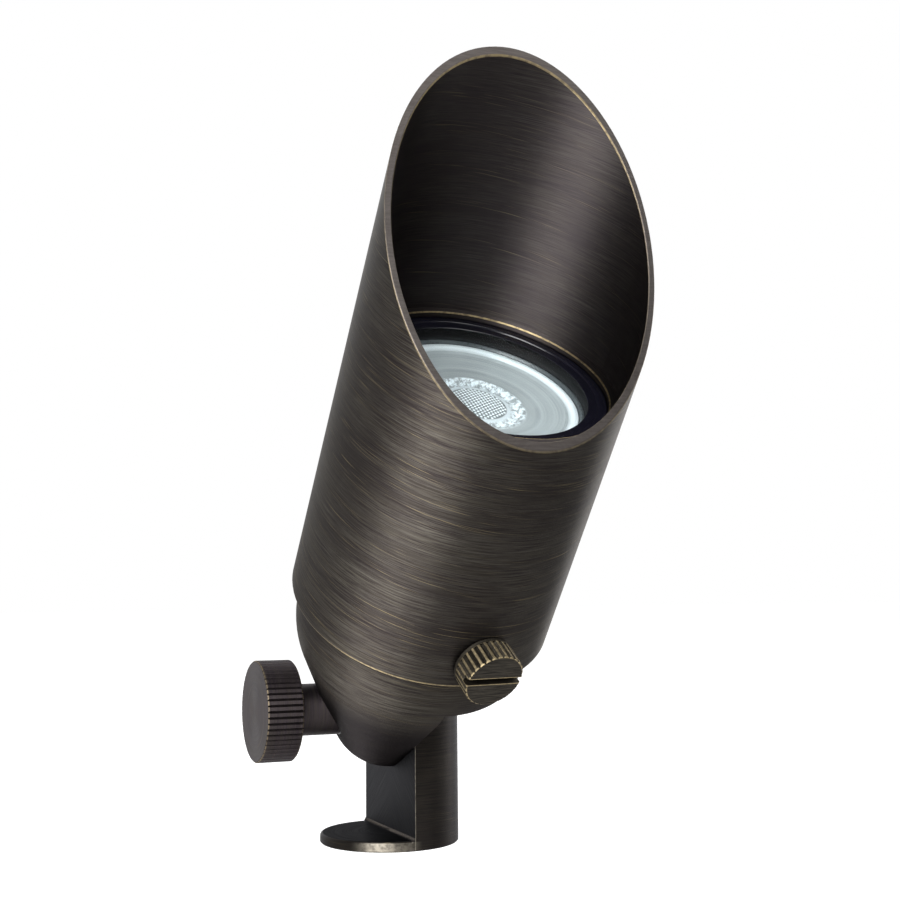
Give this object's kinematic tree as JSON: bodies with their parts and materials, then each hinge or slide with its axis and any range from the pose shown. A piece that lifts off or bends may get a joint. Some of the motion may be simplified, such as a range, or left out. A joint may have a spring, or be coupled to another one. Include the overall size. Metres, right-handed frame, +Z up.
{
  "type": "garden bullet spotlight",
  "caption": "Bullet spotlight with a slanted slip-on shroud, glass lens and reflector lamp, tilting on a half-lap knuckle clamped by a knurled knob.",
  "frame": {"origin": "centre of the round foot's underside", "axes": "+Z up along the foot's axis, -X towards the knuckle knob, -Y the way the lamp leans"},
  "size_m": [0.0734, 0.1132, 0.1966],
  "materials": {
    "bronze": "brushed dark bronze patina",
    "knob_bronze": "satin dark bronze patina",
    "screw_brass": "worn bronze patina",
    "steel": "plain",
    "seal_rubber": "matt",
    "gasket_rubber": "smooth",
    "lens": "clear tempered",
    "optic": "clear moulded",
    "lamp_white": "moulded",
    "board": "white solder mask",
    "phosphor": "phosphor",
    "contact": "plain",
    "ceramic": "glazed steatite",
    "lead_jacket": "high-temperature sleeve"
  },
  "bodies": {
    "foot": {"base_knuckle": "bronze"},
    "knob": {"knuckle_knob": "knob_bronze", "knuckle_washer": "steel"},
    "head": {"rear_housing": "bronze", "housing_seal_rear": "seal_rubber", "housing_seal_front": "seal_rubber", "knuckle_seal": "seal_rubber", "lamp_optic": "optic", "lamp_shell": "lamp_white", "led_board": "board", "led_emitter": "phosphor", "lamp_base": "lamp_white", "lamp_pins": "contact", "lamp_socket": "ceramic", "socket_contacts": "contact", "socket_bracket": "steel", "socket_screws": "steel", "bracket_screws": "steel", "socket_leads": "lead_jacket", "lead_grommet": "seal_rubber"},
    "lens_pack": {"lens_glass": "lens", "lens_gasket": "gasket_rubber"},
    "shroud": {"shroud": "bronze"},
    "shroud_screw": {"shroud_screw": "screw_brass"}
  },
  "joints": [
    {"name": "head_tilt", "type": "hinge", "parent": "foot", "child": "head", "pos_m": [0, 0, 0.0367], "axis": [1, 0, 0], "range_deg": [-128.5, 51.5]},
    {"name": "knob_turn", "type": "hinge", "parent": "foot", "child": "knob", "pos_m": [0, 0, 0.0367], "axis": [-1, 0, 0], "continuous": true},
    {"name": "shroud_turn", "type": "hinge", "parent": "head", "child": "lens_pack", "pos_m": [0, 0, 0.0367], "axis": [0, -0.6225, 0.7826], "continuous": true},
    {"name": "shroud_slide", "type": "slide", "parent": "lens_pack", "child": "shroud", "axis": [0, -0.6225, 0.7826], "range_m": [0, 0.075]},
    {"name": "screw_turn", "type": "hinge", "parent": "shroud", "child": "shroud_screw", "pos_m": [0.00303, -0.05591, 0.05139], "axis": [0.0872, -0.7796, -0.6201], "continuous": true}
  ]
}
